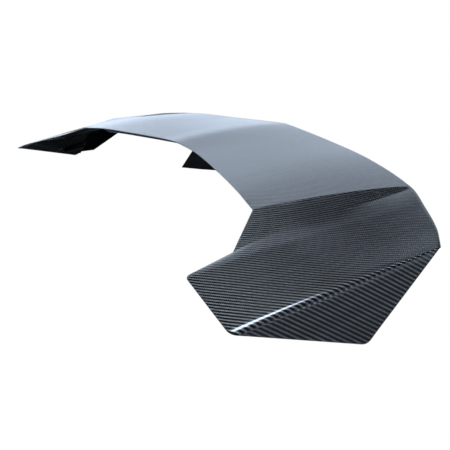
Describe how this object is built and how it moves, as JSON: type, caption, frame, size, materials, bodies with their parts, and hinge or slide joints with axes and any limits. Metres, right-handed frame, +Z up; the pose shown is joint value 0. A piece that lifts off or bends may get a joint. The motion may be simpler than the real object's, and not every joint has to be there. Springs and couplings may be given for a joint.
{
  "type": "rear wing",
  "caption": "Wide carbon rear wing with a swept deck, faceted drooping end plates and raked black pylons, for the tail of a sports or track car.",
  "frame": {"origin": "middle of the wing's width and depth, on the floor plane through the foot corners of the end plates and the pylon heels", "axes": "+X across the car towards its left side, +Y towards its tail, +Z up"},
  "size_m": [1.56, 0.52, 0.1654],
  "materials": {
    "carbon_gloss": "clear-coated carbon twill",
    "carbon_dark": "carbon laminate, satin resin face",
    "foam": "structural foam",
    "pylon_black": "black gloss",
    "rubber": "matt",
    "steel": "zinc plated",
    "block": "dark anodised"
  },
  "bodies": {
    "root": {"upper_skin": "carbon_gloss", "lower_skin_center": "carbon_dark", "inner_skin_left": "carbon_dark", "inner_skin_right": "carbon_dark", "front_spar": "foam", "rear_spar": "foam", "rib_center": "foam", "rib_left": "foam", "rib_right": "foam", "saddle_left": "carbon_dark", "saddle_right": "carbon_dark", "saddle_inserts": "steel", "pylon_left": "pylon_black", "pylon_right": "pylon_black", "pylon_screws": "steel", "pylon_washers": "steel", "foot_gasket_left": "rubber", "foot_gasket_right": "rubber", "foot_inserts": "steel", "end_block_left": "block", "end_block_right": "block", "end_inserts": "steel", "end_web_left": "carbon_dark", "end_web_right": "carbon_dark"}
  },
  "joints": []
}
